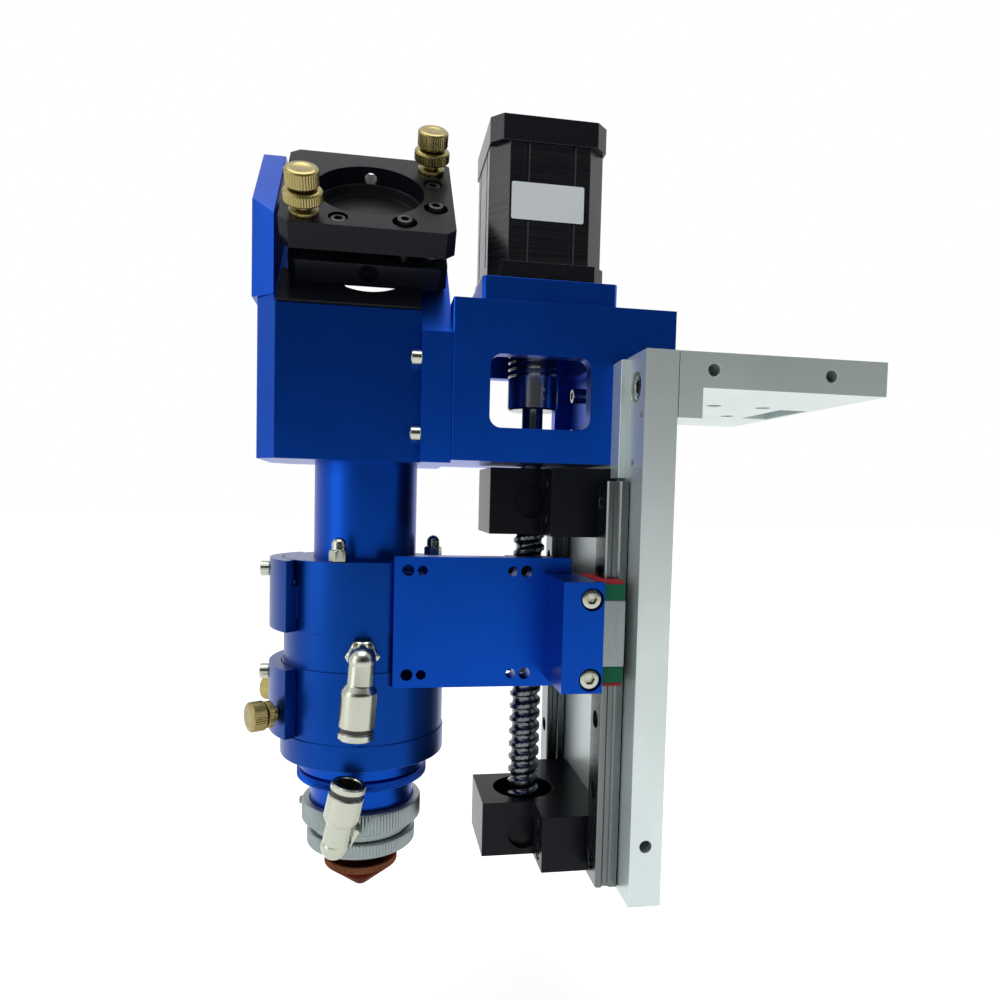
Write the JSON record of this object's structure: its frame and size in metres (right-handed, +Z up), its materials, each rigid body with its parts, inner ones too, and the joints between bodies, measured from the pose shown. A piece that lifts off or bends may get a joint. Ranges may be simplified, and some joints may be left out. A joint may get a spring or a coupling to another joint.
{
  "type": "laser cutting head",
  "caption": "Laser cutting head with motor-driven focus slide on a bracket, adjustable turning mirror, telescopic lens barrel with lens drawers, air elbows and a conical nozzle.",
  "frame": {"origin": "centre of the gantry bolt pattern on the top face of the bracket", "axes": "+Z up along the barrel towards the motor, +X from the barrel towards the bracket, +Y along the incoming beam reversed, away from the front"},
  "size_m": [0.2129, 0.1126, 0.2827],
  "materials": {
    "silver": "satin, bead blasted and clear anodised",
    "blue": "satin blue anodise",
    "black": "satin black anodise",
    "motor": "black lacquer",
    "steel": "ground",
    "nickel": "nickel plated",
    "dark_steel": "black oxide",
    "brass": "turned and knurled",
    "copper": "turned copper",
    "green": "moulded",
    "red": "wiper seal",
    "glass": "polished, coated",
    "mirror": "polished"
  },
  "bodies": {
    "frame": {"back_plate": "silver", "top_bracket": "silver", "frame_screws": "nickel", "linear_rails": "steel", "rail_screws": "dark_steel", "upper_bearing_block": "black", "lower_bearing_block": "black", "screw_bearings": "steel", "motor_housing": "blue", "housing_shim": "silver", "motor_adapter": "blue", "motor_front_cover": "motor", "motor_stator": "motor", "motor_rear_cover": "motor", "mirror_block": "blue", "mirror_flange": "blue", "left_cheek": "blue", "mirror_base_plate": "black", "spring_screws": "dark_steel"},
    "gimbal": {"pivot_ball": "steel"},
    "mirror_mount": {"tilt_plate": "black", "mirror_cell": "black", "mirror_disc": "mirror", "lock_screws": "dark_steel", "tilt_bushings": "brass"},
    "left_thumbscrew": {"tilt_knob_left": "brass"},
    "right_thumbscrew": {"tilt_knob_right": "brass"},
    "drive_shaft": {"ball_screw": "steel", "shaft_coupling": "black", "motor_shaft": "steel"},
    "carriage": {"guide_blocks": "steel", "guide_end_caps": "green", "guide_seals": "red", "nut_block": "blue", "side_blocks": "blue", "side_block_screws": "nickel", "front_plate": "blue", "ball_nut": "dark_steel", "barrel_upper_module": "blue", "barrel_mid_ring": "blue", "barrel_lower_module": "blue", "barrel_lower_flange": "blue", "nose_tube": "blue", "beam_tube": "blue", "acorn_nuts": "nickel", "nozzle_body": "silver", "copper_nozzle": "copper", "elbow_bases": "nickel"},
    "nose_lock_ring": {"lock_ring": "blue"},
    "nozzle_clamp_nut": {"nozzle_nut": "silver"},
    "window_drawer": {"upper_drawer": "blue", "window_glass": "glass", "upper_drawer_screw": "nickel"},
    "lens_drawer": {"lower_drawer": "blue", "focus_lens": "glass", "lower_drawer_screw": "nickel"},
    "centring_screw_front": {"centring_knob_front": "brass"},
    "centring_screw_rear": {"centring_knob_rear": "brass"},
    "elbow_upper": {"upper_elbow": "nickel"},
    "elbow_lower": {"lower_elbow": "nickel"}
  },
  "joints": [
    {"name": "screw_spin", "type": "hinge", "parent": "frame", "child": "drive_shaft", "pos_m": [-0.077, 0, -0.082], "axis": [0, 0, 1], "range_deg": [-2890, 442]},
    {"name": "focus_slide", "type": "slide", "parent": "frame", "child": "carriage", "axis": [0, 0, 1], "range_m": [-0.04, 0.006]},
    {"name": "mirror_tilt_x", "type": "hinge", "parent": "frame", "child": "gimbal", "pos_m": [-0.118, -0.01977, 0.03537], "axis": [1, 0, 0], "range_deg": [-1.51, 1.51]},
    {"name": "mirror_tilt_y", "type": "hinge", "parent": "gimbal", "child": "mirror_mount", "pos_m": [-0.118, -0.01977, 0.03537], "axis": [0, 0.7071, 0.7071], "range_deg": [-1.51, 1.51]},
    {"name": "right_thumbscrew_turn", "type": "hinge", "parent": "mirror_mount", "child": "right_thumbscrew", "pos_m": [-0.1175, -0.00237, 0.07652], "axis": [0, -0.7071, 0.7071], "range_deg": [-720, 720]},
    {"name": "left_thumbscrew_turn", "type": "hinge", "parent": "mirror_mount", "child": "left_thumbscrew", "pos_m": [-0.1605, -0.03136, 0.04753], "axis": [0, -0.7071, 0.7071], "range_deg": [-720, 720]},
    {"name": "lock_ring_turn", "type": "hinge", "parent": "carriage", "child": "nose_lock_ring", "pos_m": [-0.1394, 0, -0.151], "axis": [0, 0, 1], "continuous": true},
    {"name": "nozzle_nut_turn", "type": "hinge", "parent": "carriage", "child": "nozzle_clamp_nut", "pos_m": [-0.1394, 0, -0.177], "axis": [0, 0, 1], "continuous": true},
    {"name": "window_drawer_slide", "type": "slide", "parent": "carriage", "child": "window_drawer", "axis": [-1, 0, 0], "range_m": [0, 0.058]},
    {"name": "lens_drawer_slide", "type": "slide", "parent": "carriage", "child": "lens_drawer", "axis": [-1, 0, 0], "range_m": [0, 0.058]},
    {"name": "centring_front_turn", "type": "hinge", "parent": "lens_drawer", "child": "centring_screw_front", "pos_m": [-0.16538, -0.015, -0.1255], "axis": [-0.866, -0.5, 0], "range_deg": [-720, 720]},
    {"name": "centring_rear_turn", "type": "hinge", "parent": "lens_drawer", "child": "centring_screw_rear", "pos_m": [-0.16538, 0.015, -0.1255], "axis": [-0.866, 0.5, 0], "range_deg": [-720, 720]},
    {"name": "upper_elbow_swivel", "type": "hinge", "parent": "carriage", "child": "elbow_upper", "pos_m": [-0.1394, -0.04, -0.1025], "axis": [0, -1, 0], "continuous": true},
    {"name": "lower_elbow_swivel", "type": "hinge", "parent": "carriage", "child": "elbow_lower", "pos_m": [-0.14763, -0.03566, -0.1655], "axis": [-0.225, -0.9744, 0], "continuous": true}
  ],
  "couplings": [
    {"joint": "screw_spin", "follows": "focus_slide", "rad_per_m": 1256.6},
    {"joint": "mirror_tilt_x", "follows": "right_thumbscrew_turn", "ratio": -0.0019222},
    {"joint": "mirror_tilt_y", "follows": "left_thumbscrew_turn", "ratio": -0.0018724}
  ]
}
